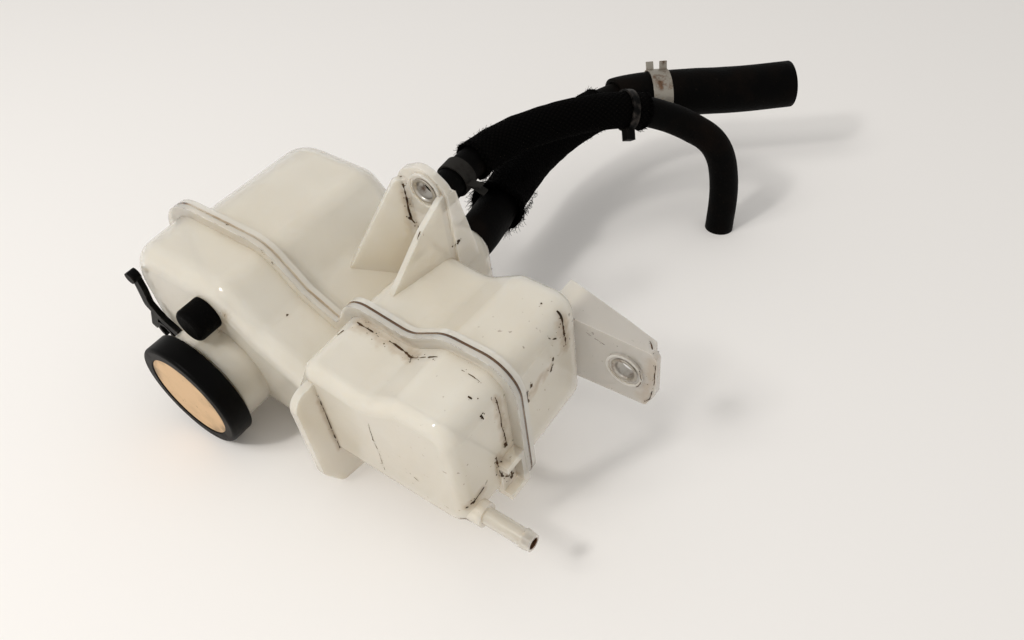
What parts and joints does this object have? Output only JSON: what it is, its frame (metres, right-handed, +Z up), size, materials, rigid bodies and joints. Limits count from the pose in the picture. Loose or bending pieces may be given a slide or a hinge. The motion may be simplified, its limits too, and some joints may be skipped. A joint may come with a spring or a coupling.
{
  "type": "coolant expansion tank",
  "caption": "Moulded coolant expansion tank with a welded seam, screw pressure cap, bushed mounting ear and tab, hose barb and clamped rubber hoses in woven sleeves.",
  "frame": {"origin": "on the floor below the middle of the tank's box, with the hoses left out", "axes": "+X along the tank towards its barb and mounting tab, +Y from the filler cap towards the hoses, +Z up as the tank lies on its cap rim"},
  "size_m": [0.2536, 0.4322, 0.1355],
  "materials": {
    "tank_plastic": "satin",
    "bush_steel": "satin",
    "cap_plastic": "satin",
    "label": "matt",
    "cartridge_plastic": "satin",
    "seal_rubber": "matt",
    "valve_steel": "satin",
    "blank_rubber": "matt",
    "clip_plastic": "satin",
    "hose_rubber": "matt",
    "sleeve_fabric": "matt",
    "clamp_steel": "satin"
  },
  "bodies": {
    "tank": {"upper_shell": "tank_plastic", "lower_shell": "tank_plastic", "ear_bush": "bush_steel", "tab_bush": "bush_steel", "blanking_cap": "blank_rubber", "hose_clip": "clip_plastic", "outlet_hose": "hose_rubber", "end_hose": "hose_rubber", "vent_hose": "hose_rubber", "outlet_sleeve": "sleeve_fabric", "vent_sleeve": "sleeve_fabric", "outlet_clamp": "clamp_steel", "vent_clamp": "clamp_steel", "band_clamp": "clamp_steel", "cable_tie": "clip_plastic"},
    "cartridge": {"cartridge_head": "cartridge_plastic", "cartridge_cup": "cartridge_plastic", "cartridge_oring": "seal_rubber", "cap_gasket": "seal_rubber", "pressure_spring": "valve_steel"},
    "cap": {"cap_shell": "cap_plastic", "cap_label_disc": "label"},
    "pressure_valve": {"pressure_plate": "valve_steel", "pressure_seal": "seal_rubber", "vacuum_spring": "valve_steel"},
    "vacuum_valve": {"vacuum_valve": "valve_steel"}
  },
  "joints": [
    {"name": "cap_lift", "type": "slide", "parent": "tank", "child": "cartridge", "axis": [0, -0.9863, -0.165], "range_m": [0, 0.008]},
    {"name": "cap_turn", "type": "hinge", "parent": "cartridge", "child": "cap", "pos_m": [-0.0647, -0.06771, 0.03034], "axis": [0, -0.9863, -0.165], "range_deg": [0, 720.5]},
    {"name": "pressure_lift", "type": "slide", "parent": "cartridge", "child": "pressure_valve", "axis": [0, -0.9863, -0.165], "range_m": [0, 0.002], "stiffness_N_per_m": 3000, "deforming": ["pressure_spring"]},
    {"name": "vacuum_open", "type": "slide", "parent": "pressure_valve", "child": "vacuum_valve", "axis": [0, 0.9863, 0.165], "range_m": [0, 0.001], "stiffness_N_per_m": 60, "deforming": ["vacuum_spring"]}
  ],
  "couplings": [
    {"joint": "cap_turn", "follows": "cap_lift", "rad_per_m": 1570.8}
  ]
}
